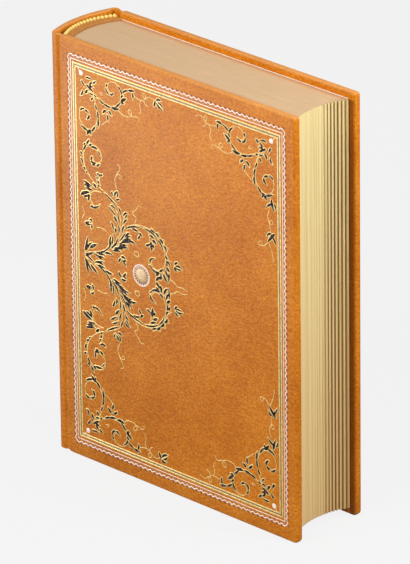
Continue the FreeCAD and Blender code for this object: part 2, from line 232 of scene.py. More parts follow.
class Amount:
    """A number that varies over a surface: arithmetic on it adds the nodes."""

    def __init__(self, socket):
        self.socket = socket

    def calculate(self, operation, *values):
        tree = self.socket.id_data
        node = tree.nodes.new("ShaderNodeMath")
        node.operation = operation
        for slot, value in zip(node.inputs, values):
            if isinstance(value, Amount):
                tree.links.new(value.socket, slot)
            else:
                slot.default_value = value
        return Amount(node.outputs[0])

    def __add__(self, other):
        return self.calculate("ADD", self, other)

    def __sub__(self, other):
        return self.calculate("SUBTRACT", self, other)

    def __mul__(self, other):
        return self.calculate("MULTIPLY", self, other)

    def __truediv__(self, other):
        return self.calculate("DIVIDE", self, other)

    def __pow__(self, other):
        return self.calculate("POWER", self, other)

    def __radd__(self, other):
        return self.calculate("ADD", other, self)

    def __rsub__(self, other):
        return self.calculate("SUBTRACT", other, self)

    def __rmul__(self, other):
        return self.calculate("MULTIPLY", other, self)

    def clamped(self):
        return self.calculate("MINIMUM", self.calculate("MAXIMUM", self, 0.0), 1.0)


def colour(red, green, blue):
    """A colour, from its screen values to the light that the shader works in."""
    return tuple((c / 255 / 12.92 if c / 255 <= 0.04045 else ((c / 255 + 0.055) / 1.055) ** 2.4)
                 for c in (red, green, blue)) + (1.0,)


class Finish:
    """One material and the nodes it is made of."""

    def __init__(self, name):
        self.material = bpy.data.materials.new(name)
        self.material.use_nodes = True
        self.tree = self.material.node_tree
        self.shader = self.tree.nodes["Principled BSDF"]
        self.where = self.node("ShaderNodeTexCoord").outputs["Object"]

    def node(self, kind, settings=None, **values):
        """Any node from its type, its settings and what goes into its sockets."""
        node = self.tree.nodes.new(kind)
        for key, value in (settings or {}).items():
            if key == "stops":
                for element, (place, tone) in zip(self.stops(node, len(value)), value):
                    element.position = place
                    element.color = tone
            else:
                setattr(node, key, value)
        for key, value in values.items():
            self.put(node, key.replace("_", " "), value)
        return node

    def stops(self, node, count):
        while len(node.color_ramp.elements) < count:
            node.color_ramp.elements.new(0.5)
        return node.color_ramp.elements

    def put(self, node, name, value):
        slot = node.inputs[name]
        if isinstance(value, Amount):
            self.tree.links.new(value.socket, slot)
        elif isinstance(value, bpy.types.NodeSocket):
            self.tree.links.new(value, slot)
        else:
            slot.default_value = value

    def stretched(self, scale):
        """The place on the piece, stretched along each way."""
        return self.node("ShaderNodeMapping", Vector=self.where, Scale=scale).outputs[0]

    def millimetres(self):
        """Where on the book, as three amounts counted the way the book's sizes are."""
        place = self.node("ShaderNodeSeparateXYZ", Vector=self.where)
        x, y, z = (Amount(place.outputs[way]) / MM for way in "XYZ")
        return x + MIDDLE_X, y, z

    def noise(self, scale, detail=2.0, roughness=0.5, place=None):
        made = self.node("ShaderNodeTexNoise", Vector=place or self.where, Scale=scale, Detail=detail,
                         Roughness=roughness)
        return Amount(made.outputs["Fac"])

    def cells(self, scale):
        made = self.node("ShaderNodeTexVoronoi", Vector=self.where, Scale=scale)
        return Amount(made.outputs["Distance"])

    def ramp(self, amount, *stops):
        """Colours along an amount."""
        return self.node("ShaderNodeValToRGB", {"stops": stops}, Fac=amount).outputs["Color"]

    def mix(self, amount, first, second):
        """Two colours mixed by an amount."""
        made = self.node("ShaderNodeMix", {"data_type": "RGBA"})
        for slot, value in ((0, amount), (6, first), (7, second)):
            self.put(made, slot, value)
        return made.outputs[2]

    def relief(self, height, distance, strength=1.0, under=None):
        """A bump, on top of another one where that is given."""
        made = self.node("ShaderNodeBump", Height=height, Distance=distance, Strength=strength)
        if under:
            self.put(made, "Normal", under)
        return made.outputs["Normal"]

    def finish(self, **values):
        """Feed the shader and hand over the material."""
        for key, value in values.items():
            self.put(self.shader, key.replace("_", " "), value)
        return self.material


def tan_leather():
    """Grained leather, a warm orange tan: dark creases, a painted highlight paling the head edges, and
    painted shade darkening the turn-ins beside the fore-edge of the pages.
    """
    f = Finish("tan leather")
    pebbles = f.cells(1250.0)
    fine = f.noise(1900.0, 3.0, 0.6)
    cloud = f.noise(28.0, 4.0, 0.55)
    patch = f.noise(640.0, 3.0, 0.65, f.stretched((0.8, 1.0, 1.3)))
    tone = (cloud * 0.25 + patch * 0.4 + fine * 0.35).clamped()
    hide = f.ramp(tone, (0.37, colour(176, 90, 8)), (0.5, colour(208, 122, 24)), (0.63, colour(234, 150, 46)))
    creased = f.mix(((pebbles - 0.45) * 2.2).clamped() * 0.35, hide, colour(146, 68, 4))
    x, y, z = f.millimetres()
    # painted highlight: the head edges are mixed half way to a pale tan
    painted_head_highlight = f.mix(((z - (COVER_HEIGHT - EDGE_ROUND)) * 1.2).clamped() * 0.5, creased, colour(204, 152, 98))
    # painted shade: the turn-ins inside both boards, past the fore-edge of the pages, are darkened to deep
    # brown
    inside = (LINING_FACE + 1.8 - y.calculate("ABSOLUTE", y)) * 1.2
    past_pages = (x - (BLOCK_FORE - 0.95)) * 1.5
    short_of_edge = (COVER_WIDTH - 0.15 - x) * 0.5
    below_pages_top = (COVER_HEIGHT - SQUARE + 0.2 - z) * 0.9
    shaded_turn_in = inside.clamped() * past_pages.clamped() * short_of_edge.clamped() * below_pages_top.clamped()
    painted_turn_in_shade = f.mix(shaded_turn_in * 0.75, painted_head_highlight, colour(96, 42, 10))
    rough = 0.44 + patch * 0.12 - pebbles * 0.05
    bump = f.relief(pebbles * -1.0 + fine * 0.5, 0.00012, 0.55)
    soft = f.relief(patch + cloud * 0.4, 0.0007, 0.6, bump)
    return f.finish(Base_Color=painted_turn_in_shade, Roughness=rough, Normal=soft, Specular_IOR_Level=0.08)


def greyboard():
    """Pressed grey board with short fibres."""
    f = Finish("greyboard")
    fibre = f.noise(900.0, 4.0, 0.7)
    tone = f.ramp(fibre, (0.3, colour(128, 122, 112)), (0.7, colour(168, 160, 148)))
    return f.finish(Base_Color=tone, Roughness=0.85 + fibre * 0.1, Normal=f.relief(fibre, 0.0001, 0.4))


def card():
    """Smooth buff card."""
    f = Finish("buff card")
    fibre = f.noise(1400.0, 3.0, 0.6)
    tone = f.ramp(fibre, (0.3, colour(196, 178, 146)), (0.7, colour(216, 200, 170)))
    return f.finish(Base_Color=tone, Roughness=0.8 + fibre * 0.1, Normal=f.relief(fibre, 0.00006, 0.3))


def hinge_cloth():
    """Open-woven binder's cloth."""
    f = Finish("hinge cloth")
    warp, weft = (f.node("ShaderNodeTexWave", {"wave_type": "BANDS", "bands_direction": way},
                         Vector=f.where, Scale=420.0) for way in "ZX")
    weave = Amount(warp.outputs["Fac"]) * 0.5 + Amount(weft.outputs["Fac"]) * 0.5
    tone = f.ramp(weave, (0.2, colour(188, 176, 150)), (0.8, colour(226, 216, 194)))
    return f.finish(Base_Color=tone, Roughness=0.85 + weave * 0.1, Normal=f.relief(weave, 0.00015, 0.6))


def endpaper():
    """White laid endpaper."""
    f = Finish("white endpaper")
    fibre = f.noise(700.0, 4.0, 0.6)
    laid = f.noise(1.0, 2.0, 0.5, f.stretched((200.0, 200.0, 1500.0)))
    tone = f.ramp(fibre * 0.7 + laid * 0.3, (0.3, colour(236, 226, 208)), (0.7, colour(248, 241, 228)))
    return f.finish(Base_Color=tone, Roughness=0.72 + fibre * 0.12,
                    Normal=f.relief(fibre * 0.5 + laid * 0.5, 0.00005, 0.3))


def page_edges():
    """Cut page edges: cream-gold paper, each leaf a fine line, painted shade darker towards the tail, and
    painted shade in brown on the leaves' sides in the gaps of the gatherings.
    """
    f = Finish("page edges")
    leaves = f.noise(1.0, 2.0, 0.7, f.stretched((60.0, 2600.0, 14.0)))
    gatherings = f.noise(1.0, 2.0, 0.6, f.stretched((30.0, 520.0, 6.0)))
    lines = leaves * 0.6 + gatherings * 0.4
    fore = f.ramp(lines, (0.3, colour(216, 190, 124)), (0.52, colour(238, 218, 156)),
                  (0.72, colour(246, 230, 174)))
    y, z = f.millimetres()[1:]
    # painted shade: the fore-edge is mixed towards a darker tone lower down, as light falls off
    painted_falloff = f.mix((0.75 - z * 0.0034).clamped(), fore, colour(232, 188, 122))
    # painted shade: leaf sides facing across the block, seen in the gaps, are half browned
    facing = f.node("ShaderNodeSeparateXYZ", Vector=f.node("ShaderNodeTexCoord").outputs["Normal"])
    sideways = y.calculate("GREATER_THAN", y.calculate("ABSOLUTE", Amount(facing.outputs["Y"])), 0.5)
    within = y.calculate("LESS_THAN", y, BLOCK_FACE - 0.35)
    gaps = f.mix(sideways * within * 0.5, painted_falloff, colour(140, 92, 34))
    ends = f.ramp(lines, (0.3, colour(192, 160, 122)), (0.7, colour(202, 170, 132)))
    tinted = f.mix(((y - 16.5) * 0.4).clamped() * 0.5, ends, colour(188, 120, 66))
    head = z.calculate("GREATER_THAN", z, COVER_HEIGHT - SQUARE - 0.2)
    tail = z.calculate("LESS_THAN", z, SQUARE + 0.2)
    return f.finish(Base_Color=f.mix(head + tail, gaps, tinted), Roughness=0.42 + leaves * 0.2,
                    Normal=f.relief(leaves, 0.00008, 0.4))


def band_thread():
    """Pale yellow silk wound over the headband core."""
    f = Finish("headband silk")
    ply = f.noise(1.0, 2.0, 0.6, f.stretched((2600.0, 2600.0, 500.0)))
    tone = f.ramp(ply, (0.3, colour(190, 156, 64)), (0.65, colour(238, 214, 126)))
    return f.finish(Base_Color=tone, Roughness=0.4 + ply * 0.2, Normal=f.relief(ply, 0.0001, 0.5))


def band_tape():
    """Ochre tape under the silk: a real tape, whose ochre band over the ends of the pages also paints shade
    and reflection of the spine leather.
    """
    f = Finish("headband tape and painted shade")
    weave = f.noise(1600.0, 3.0, 0.6)
    tone = f.ramp(weave, (0.3, colour(146, 90, 26)), (0.5, colour(172, 108, 46)), (0.7, colour(184, 142, 56)))
    return f.finish(Base_Color=tone, Roughness=0.6 + weave * 0.15, Normal=f.relief(weave, 0.0001, 0.5))


def foil(name, low, high, shine, metal):
    """Blocked foil: a thin metal skin that takes up the grain of the leather under it."""
    f = Finish(name)
    grain = f.cells(1250.0)
    wear = f.noise(700.0, 4.0, 0.65)
    tone = f.ramp(wear, (0.34, low), (0.6, high))
    return f.finish(Base_Color=tone, Metallic=metal, Roughness=shine + wear * 0.2,
                    Normal=f.relief(grain * -1.0, 0.00005, 0.4))


def dark_foil():
    """Near-black pigment foil with painted plum-grey highlights in patches along the leaves."""
    f = Finish("dark foil")
    shade = f.noise(800.0, 2.0, 0.6)
    # painted highlight: the top stop of the ramp lays plum-grey sheen on the foil
    tone = f.ramp(shade, (0.44, colour(24, 12, 5)), (0.56, colour(48, 32, 26)), (0.68, colour(136, 114, 120)))
    return f.finish(Base_Color=tone, Roughness=0.5 + shade * 0.25, Specular_IOR_Level=0.06,
                    Normal=f.relief(f.cells(1250.0) * -1.0, 0.00005, 0.4))


finishes = {
    "cover_leather": tan_leather(),
    "greyboard": greyboard(),
    "card": card(),
    "hinge_cloth": hinge_cloth(),
    "endpaper": endpaper(),
    "page_paper": page_edges(),
    "headband_thread": band_thread(),
    "gold_foil": foil("pale gold foil", colour(184, 148, 70), colour(226, 198, 122), 0.42, 0.2),
    "silver_foil": foil("pearl foil", colour(222, 196, 176), colour(250, 236, 224), 0.42, 0.1),
    "dark_foil": dark_foil(),
}
tape = band_tape()
# painted shadow brown for the notches outside the border's teeth, and the rosette petals' own dark brown
tooth_shadow_and_petal_brown = foil("painted tooth shadow and petal brown", colour(84, 40, 12), colour(122, 62, 24), 0.6, 0.0)
olive = foil("olive tooling", colour(96, 70, 18), colour(136, 106, 40), 0.5, 0.0)
fawn = foil("fawn foil", colour(178, 140, 92), colour(214, 182, 136), 0.5, 0.1)
rose = foil("rose pearl foil", colour(200, 168, 148), colour(228, 202, 184), 0.5, 0.1)
# painted shadow grey for the dashes in the hollows inside the border's teeth
hollow_shadow_grey = foil("painted hollow shadow grey", colour(118, 92, 76), colour(150, 122, 104), 0.5, 0.1)


def coat(piece, slot, body=None, nodes=(), finish=None):
    """Give a finished piece its material, its body and the nodes it stands for."""
    piece.data.materials.clear()
    piece.data.materials.append(finish or finishes[slot])
    if nodes:
        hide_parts(*nodes)
    if body:
        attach(piece, body)
    return piece


# Case

# Corner radii of the covers, by fore-edge side and head end
CORNERS = {(0, 0): 3.4, (1, 0): 3.0, (1, 1): 1.8, (0, 1): 2.4}


def case_side(name, side):
    """One leather-covered side: a slab with rounded corners and rims, hollowed for its board."""
    slab = block(name, at(BOARD_START, side * LINING_FACE, 0), at(COVER_WIDTH, side * FACE, COVER_HEIGHT))
    for (fore, head), radius in CORNERS.items():
        corner = Vector((COVER_WIDTH if fore else BOARD_START, 0, head * COVER_HEIGHT))
        pick(slab, "EDGE", lambda e: abs(run_of(e).y) > 0.9
             and (middle_of(e).xz - corner.xz).length < 0.1)
        bpy.ops.mesh.bevel(offset=radius * MM, segments=7)
    for level, radius in ((FACE, EDGE_ROUND), (LINING_FACE, INNER_EDGE_ROUND)):
        pick(slab, "EDGE", lambda e: all(abs(v.co.y - side * level * MM) < 1e-7 for v in e.verts))
        bpy.ops.mesh.bevel(offset=radius * MM, segments=5)
    rest()
    room = block("board room", at(LEATHER, side * BOARD_BACK, LEATHER),
                 at(COVER_WIDTH - LEATHER, side * BOARD_FACE, COVER_HEIGHT - LEATHER))
    cut(slab, room)
    window = block("lining window", at(BOARD_START - 1, side * (LINING_FACE - 1), TURN_IN),
                   at(COVER_WIDTH - TURN_IN, side * (BOARD_BACK + 0.1), COVER_HEIGHT - TURN_IN))
    cut(slab, window)
    smooth(slab)
    return slab


def spine_plan(side):
    """The spine leather in plan: from under the board, through the groove, over the shoulder and round."""
    top = FACE - SHOULDER_DEPTH
    points = [(0.75, FACE - 1.5), (0.1, FACE - 1.75), (-0.55, FACE - 1.8), (-1.1, FACE - 1.65),
              (-1.55, FACE - 1.3), (-2.0, top - 0.2), (-2.6, top - 0.03), (-3.4, top)]
    turn_y = top - SHOULDER_ROUND
    turn_x = SPINE_CENTRE - math.sqrt((SPINE_RADIUS - SHOULDER_ROUND) ** 2 - turn_y ** 2)
    lean = math.atan2(turn_y, SPINE_CENTRE - turn_x)
    for i in range(7):
        angle = math.pi / 2 + (lean - math.pi / 2) * i / 6
        points.append((turn_x - SHOULDER_ROUND * math.cos(angle), turn_y + SHOULDER_ROUND * math.sin(angle)))
    for i in range(1, 11):
        angle = lean * (1 - i / 10)
        points.append((SPINE_CENTRE - SPINE_RADIUS * math.cos(angle), SPINE_RADIUS * math.sin(angle)))
    return [(x + BOARD_START, side * y) for x, y in points]


def spine_side(name, side):
    """Half of the spine leather, thick where it is turned in at head and tail, with soft rims."""
    skin = sheet(name, spine_plan(side), 0, COVER_HEIGHT)
    rows = [EDGE_ROUND, TURN_IN - 0.2, TURN_IN, COVER_HEIGHT / 4]
    slice_at(skin, rows + [MIDDLE] + [COVER_HEIGHT - row for row in reversed(rows)])
    group = skin.vertex_groups.new(name="turned in")
    for vertex in skin.data.vertices:
        place = local(vertex.co)
        in_turn = min(place.z, COVER_HEIGHT - place.z) < TURN_IN - 0.1
        width = max(0.0, min(1.0, (22.6 - abs(place.y)) / 3.0))
        thickness = LEATHER + (SPINE_RIM - LEATHER) * width * in_turn
        group.add([vertex.index], thickness / SPINE_RIM, "REPLACE")
    modify(skin, "SOLIDIFY", thickness=SPINE_RIM * MM, offset=-side, vertex_group="turned in",
           use_even_offset=True)
    outward(skin)
    for level in (0, COVER_HEIGHT):
        pick(skin, "EDGE", lambda e: all(abs(v.co.z - level * MM) < 1e-7 for v in e.verts)
             and len(e.link_faces) == 2 and any(abs(f.normal.z) < 0.5 for f in e.link_faces)
             and abs(middle_of(e).y) > 0.01)
        bpy.ops.mesh.bevel(offset_type="PERCENT", offset_pct=45, segments=4)
    rest()
    smooth(skin, 50)
    return skin


def spread(half_width, radius, steps=16):
    """Angles on an arc, evenly from one side to the other of this half width."""
    reach = math.asin(half_width / radius)
    return [reach * (2 * i / steps - 1) for i in range(steps + 1)]


def spine_card():
    """The card that stiffens the spine, held under the turn-ins at head and tail."""
    radius = SPINE_RADIUS - CARD_INSIDE
    plan = [(SPINE_CENTRE + BOARD_START - radius * math.cos(a), radius * math.sin(a))
            for a in spread(CARD_HALF_WIDTH, radius)]
    card_sheet = sheet("spine_card", plan, CARD_SHORT, COVER_HEIGHT - CARD_SHORT)
    modify(card_sheet, "SOLIDIFY", thickness=CARD_THICKNESS * MM, offset=0)
    outward(card_sheet)
    smooth(card_sheet, 50)
    return card_sheet


# Pages and endpapers

def arc_inset(y, depth):
    """How far an arc of this depth stands in from its chord at y, across the block."""
    radius = (BLOCK_FACE ** 2 + depth ** 2) / (2 * depth)
    return math.sqrt(radius ** 2 - y ** 2) - (radius - depth)


LEAVES = 120
GATHERING = (0.8, 1.0, 0.5, 0.0, 0.0, 0.0)
PARTING = 3.2
PARTED_FROM = 3.5
PARTED_OVER = 9.5
ENDPAPER = 0.16


def page_block():
    """The sewn pages: one leaf, copied through the block, in gatherings that part at the fore-edge."""
    chance = random.Random(4)
    pitch = 2 * BLOCK_FACE / LEAVES
    half = pitch * 0.52
    leaf = block("leaf", at(0, -half, SQUARE), at(1, half, COVER_HEIGHT - SQUARE))
    copies = []
    for i in range(LEAVES):
        y = -BLOCK_FACE + pitch * (i + 0.5)
        y = max(-BLOCK_FACE + half, min(BLOCK_FACE - half, y))
        fold = GATHERING[i % len(GATHERING)]
        parted = max(0.0, min(1.0, (y - PARTED_FROM) / PARTED_OVER)) ** 1.7
        start = BLOCK_SPINE - arc_inset(y, BLOCK_ROUNDING)
        end = BLOCK_FORE - arc_inset(y, FORE_HOLLOW) - fold * (0.05 + PARTING * parted)
        end += chance.uniform(-0.07, 0.05)
        twin = another(leaf)
        drop = chance.uniform(0, 0.07) + fold * 0.05
        for vertex in twin.data.vertices:
            here = local(vertex.co)
            x = start if here.x < 0.5 else end
            z = here.z - drop if here.z > MIDDLE else here.z + drop * 0.5
            vertex.co = at(x, y + here.y, z)
        copies.append(twin)
    bpy.data.objects.remove(leaf)
    return join("page_block", copies)


def endpapers(name, side):
    """One folded sheet: pasted to the cover, folded in the joint, and free against the pages."""
    pasted = LINING_FACE - 0.1
    free = BLOCK_FACE + 0.1
    half = (pasted - free) / 2
    plan = [(BLOCK_FORE - 0.7, pasted), (90, pasted), (8, pasted), (0.6, pasted)]
    for i in range(1, 6):
        angle = math.pi * i / 6
        plan.append((-0.15 - half * math.sin(angle), free + half + half * math.cos(angle)))
    plan += [(0.2, free), (8, free), (90, free), (BLOCK_FORE - 0.7, free)]
    paper = sheet(name, [(x, side * y) for x, y in plan], SQUARE, COVER_HEIGHT - SQUARE + 0.15)
    modify(paper, "SOLIDIFY", thickness=ENDPAPER * MM, offset=0)
    outward(paper)
    return paper


# Headbands

BAND_RADIUS = (BLOCK_FACE ** 2 + BLOCK_ROUNDING ** 2) / (2 * BLOCK_ROUNDING)
BAND_CENTRE = BLOCK_SPINE - BLOCK_ROUNDING + BAND_RADIUS
BAND_HALF_WIDTH = 19.4
BEADS = 18
BEAD_RADIUS = 1.0
BEAD_REACH = 1.7
BEAD_RISE = 1.8
TAPE_RISE = 1.5
TAPE_THICKNESS = 0.5


def band(name, level, way):
    """A wound band on the end of the pages: beads of silk side by side along the curve of the spine."""
    rest()
    bpy.ops.mesh.primitive_uv_sphere_add(segments=12, ring_count=8, radius=BEAD_RADIUS * MM)
    bead = named("bead")
    bpy.ops.transform.resize(value=(1.0, 1.15, 1.1))
    bpy.ops.object.transform_apply(location=True, rotation=True, scale=True)
    bpy.ops.object.shade_smooth()
    span = 2 * math.asin(BAND_HALF_WIDTH / BAND_RADIUS)
    copies = []
    for i in range(BEADS):
        angle = -span / 2 + span * (i + 0.5) / BEADS
        twin = another(bead)
        spot = at(BAND_CENTRE - (BAND_RADIUS + BEAD_REACH) * math.cos(angle), BAND_RADIUS * math.sin(angle),
                  level + way * BEAD_RISE)
        twin.data.transform(Matrix.Translation(spot) @ Matrix.Rotation(-angle, 4, "Z"))
        copies.append(twin)
    bpy.data.objects.remove(bead)
    return join(name, copies)


def band_tape_piece(name, level, way):
    """The tape that carries the beads: from under them, down on to the ends of the pages, where its ochre
    band is painted shade and reflection.
    """
    outer, inner = BAND_RADIUS + 2.0, BAND_RADIUS - 3.2
    plan = [(BAND_CENTRE - outer * math.cos(a), BAND_RADIUS * math.sin(a))
            for a in spread(BAND_HALF_WIDTH, BAND_RADIUS)]
    ribbon = sheet(name, plan, 0, 1)
    for vertex in ribbon.data.vertices:
        place = local(vertex.co)
        angle = math.asin(max(-1, min(1, place.y / BAND_RADIUS)))
        radius, rise = (outer, TAPE_RISE) if place.z > 0.5 else (inner, 0.3)
        vertex.co = at(BAND_CENTRE - radius * math.cos(angle), place.y, level + way * rise)
    modify(ribbon, "SOLIDIFY", thickness=TAPE_THICKNESS * MM, offset=0)
    outward(ribbon)
    smooth(ribbon, 50)
    return ribbon


# Tooling

# Turns a flat start to face the reader of the front cover
UPRIGHT = (math.pi / 2, 0, 0)


def tooled_line(name, inset_side, inset_end, width, height=0.1):
    """A straight line of foil round the cover: a plate with its middle taken out and its rims eased."""
    rest()
    low = at(inset_side, 0, inset_end)
    high = at(TOOLED_WIDTH - inset_side, 0, COVER_HEIGHT - inset_end)
    bpy.ops.mesh.primitive_plane_add(size=1, location=at(TOOLED_WIDTH / 2, -FACE, MIDDLE), rotation=UPRIGHT)
    bpy.ops.transform.resize(value=(high.x - low.x, 1, high.z - low.z))
    piece = named(name)
    bpy.ops.object.mode_set(mode="EDIT")
    bpy.ops.mesh.select_all(action="SELECT")
    bpy.ops.mesh.inset(thickness=width * MM)
    bpy.ops.mesh.delete(type="FACE")
    bpy.ops.mesh.select_all(action="SELECT")
    bpy.ops.mesh.inset(thickness=width * 0.3 * MM, depth=height * MM, use_even_offset=True)
    bpy.ops.object.mode_set(mode="OBJECT")
    return piece


# Scrolls near the corners: millimetres from the side edge and from the head or tail.
# Strokes are start, middle and tip, with the width at the middle
CORNER_STEMS = [
    [(23, 26), (28, 28.4), (34, 29.8), (39.6, 28.7), (43, 25.4), (44.4, 20.6), (42.6, 17), (38.8, 15.7),
     (35.2, 17), (34.3, 20.2), (35.8, 22.2), (38.2, 21.8)],
    [(23.2, 27), (25.4, 32), (26.2, 37), (25.4, 42.4), (22.6, 46), (18, 47.2), (14.2, 45), (12.9, 41),
     (14, 37.6), (17, 36.2), (19.4, 38), (18.8, 40.6)],
    [(44, 21.6), (46.4, 18.8), (49.6, 17.9), (52.8, 18.4)],
]
CORNER_TENDRILS = [
    [(42, 30.5), (44, 32), (47, 32.5), (50, 32), (51.5, 30.5), (50.5, 28.2), (49, 28.6), (49.5, 30.2),
     (52, 31.3), (55, 30.5), (56.8, 31.5), (56.3, 33)],
    [(53.6, 19.6), (57.5, 20.3), (60.6, 19.6), (62, 17.6), (60.6, 15.8), (59.8, 17), (61.4, 18.6),
     (64.6, 16.8), (68.2, 18)],
    [(34, 38.4), (31.4, 40.6), (29, 42.5)],
    [(58.2, 20.8), (57.4, 23.4), (58.2, 26), (57, 28.6)],
    [(60.4, 20), (62, 22), (63.6, 22.4)],
    [(28, 24.6), (30.4, 25.2), (29.4, 23.6)],
]
CORNER_STROKES = [
    (17.8, 18.8, 20, 18.2, 23, 18.8, 1), (23.3, 20.6, 24.5, 19.6, 25.6, 18.6, 1.2),
    (20.8, 22.5, 21.6, 21, 23, 20.2, 1.3), (20.3, 24, 21.5, 22.8, 23.6, 22.6, 1.4),
    (20.5, 24.3, 22, 24.5, 23.3, 25.4, 1.2), (18.4, 22.6, 19.6, 23.1, 20.4, 24.2, 1.2),
    (14.4, 21.2, 15.7, 22.2, 16.6, 24.2, 1.2), (13.8, 29.6, 15.2, 28.2, 15.4, 26.4, 1.3),
    (17.6, 27.9, 18.4, 26.4, 19.5, 24.8, 1.4), (20.5, 26.2, 22, 27, 23.4, 26.6, 1),
    (24, 26.6, 25, 27.3, 26, 27.6, 1), (21.4, 30.4, 22.4, 29.5, 23.4, 28.4, 1),
    (27.6, 28, 29.6, 29.5, 32.2, 29.7, 1.1), (31, 29.6, 33.6, 30.5, 36.4, 30.8, 1.3),
    (36.6, 30, 39.4, 30.4, 42.4, 29.5, 1.7), (39.6, 29.4, 41.6, 27.8, 43.6, 25.6, 1.1),
    (43.6, 25.2, 45.4, 23.8, 48, 22.1, 1.8), (43.7, 23, 44.5, 22, 45.6, 21, 1.2),
    (44, 25.4, 45, 25.8, 46.2, 25.7, 1.1), (44.2, 21.4, 43.6, 18.8, 41, 17, 1.1),
    (44.8, 20, 46.8, 18.4, 49.5, 17.3, 1.1), (49.3, 17.5, 51.4, 16.8, 53.8, 16.9, 1.4),
    (51.8, 17.8, 52.6, 19.4, 52.4, 21.4, 1.2), (32.9, 20, 33.4, 22.3, 35.6, 23.4, 1.2),
    (35.4, 23.3, 37.2, 23, 38.5, 21.7, 1.1), (34, 17.9, 33.4, 18.8, 33.2, 20, 1),
    (30.1, 35.6, 31.4, 33.8, 33, 33.4, 1.4), (34.2, 33.2, 35.6, 33.7, 36.8, 35.2, 1.4),
    (33, 35.2, 33.8, 36.8, 34, 38.8, 1.3), (24.5, 31.6, 25.4, 33.4, 26, 35, 1),
    (25.8, 35.2, 26.7, 37.6, 26.6, 40.4, 1.2), (26.8, 39.6, 26.8, 42, 26.2, 44.8, 1.5),
    (24.4, 44.4, 23, 46.6, 21.3, 48.2, 1.3), (21.4, 47.6, 19.6, 48.8, 17.8, 51, 1.9),
    (18.8, 48.4, 16.6, 47.8, 13.4, 46.3, 1.3), (13.4, 38.4, 14.8, 37, 16.8, 36.5, 1.2),
    (16.8, 37.2, 18.5, 37.5, 20, 38.6, 1.2), (20, 38.8, 19.8, 40.6, 18, 42.2, 1.4),
    (20.8, 48.6, 21.2, 49.4, 21, 50.4, 0.9),
]
HEAD_STROKES = [
    (67.6, 21.2, 68.4, 19.4, 69, 17.4, 1.3), (69.4, 17.6, 71, 16.4, 73.2, 16.8, 1.2),
    (69.6, 18.6, 71.4, 20.6, 74.4, 21.6, 1.3), (70.4, 18.2, 72.4, 18.6, 74, 20.4, 1.1),
]
FORE_EDGE_STEMS = [
    [(17, 47.4), (14.6, 50), (14, 53)],
]
FORE_EDGE_TENDRILS = [
    [(16.4, 56), (17.4, 60), (15.4, 63.4), (13.8, 62.2), (15.4, 61.2), (15.8, 66), (15.4, 70)],
    [(17.4, 73.8), (20.6, 76.8), (23.8, 76.6), (22.6, 74.6), (21.4, 77)],
    [(16.8, 74), (14.6, 79), (13.6, 84)],
]
FORE_EDGE_STROKES = [
    (14.8, 49.2, 14.4, 52, 13, 55.8, 1.7), (14.4, 52.2, 16.4, 52.8, 18.6, 55, 1.3),
    (13, 51.4, 12, 52.6, 12, 54.4, 1), (12.6, 68, 15, 70.4, 17.8, 74, 1.8),
    (14.8, 69.8, 13, 71.4, 11.8, 74, 1.3), (15, 68.4, 16.8, 69, 18.4, 70.8, 1.1),
]
# Scrolls on the spine side: millimetres from the side edge and above or below the middle
CENTRE_STEMS = [
    [(29, 40.6), (22.4, 43.8), (18.6, 47.2), (16.2, 51), (15.4, 55), (15.8, 58.8), (17.6, 61.8),
     (20.4, 63.8), (24, 64.5), (27.2, 63), (28.8, 59.6), (28.2, 57), (25.4, 55.3), (23, 55.5), (22.3, 57)],
    [(15, 1), (19, 2.4), (23.4, 4), (28, 5.6), (31.4, 8), (34.8, 10.4), (38, 13), (40.4, 17), (41.4, 21),
     (42, 25.4), (42, 29), (41, 33.6), (38.6, 36.2), (34.6, 38.2), (29, 41)],
    [(28, 39), (24.8, 38.9), (22.2, 38), (20.3, 36), (20, 33.4), (21, 31), (23.2, 30.1), (25.6, 30.8),
     (26.8, 32.6)],
    [(39.6, 15.4), (42.6, 20.6), (45.6, 24), (49.8, 26.6), (54, 28.1), (58.4, 28.7), (62.6, 28.4),
     (66.4, 26.9), (69.6, 25), (72, 22.4), (73.6, 19.2), (74.4, 15.8), (74.2, 12), (73, 9.3), (71, 7.5),
     (68.4, 6.7), (66, 7.1), (64.4, 8.7), (64, 10.8), (65.2, 12.6), (67.4, 13.4)],
    [(29.4, 50.2), (27.8, 49.2), (26.9, 47.4), (26.8, 45.4), (28, 42.6)],
    [(62, 26.4), (63.2, 23.4), (63.4, 20.6)],
]
CENTRE_TENDRILS = [
    [(64.2, 29.7), (65.8, 28.9), (68, 27.7), (69.8, 28.4), (70.2, 26.7), (71.8, 25.3), (73.8, 25.3),
     (73.7, 23), (74.8, 21.6), (76.8, 21.3), (75.8, 19.4), (75.5, 17.4), (76.6, 15.8), (79, 14.2)],
    [(39.6, 44.4), (38.5, 47), (38.3, 49.1), (39.2, 51.6), (41.2, 53), (43, 52.4), (42.8, 51),
     (41.2, 51.2)],
    [(39.2, 51.6), (40.6, 54.1), (42, 56.3), (41.6, 58), (40, 58.5)],
    [(52.2, 28.4), (53.4, 31.6), (51, 34.2), (52.6, 35.6), (54.2, 37.4), (55.6, 39.4), (57.6, 38.8)],
    [(76.6, 4.2), (80, 3.4), (83, 1.4), (86.6, 1.7), (90.4, 0.8)],
    [(52, 10.6), (54, 9.8), (55, 11.6), (53, 12.6), (51.6, 11), (53.4, 9.6)],
    [(24, 18), (28, 18.6), (32, 17.4)],
    [(13.4, 20), (15, 24), (13.6, 27.4)],
]
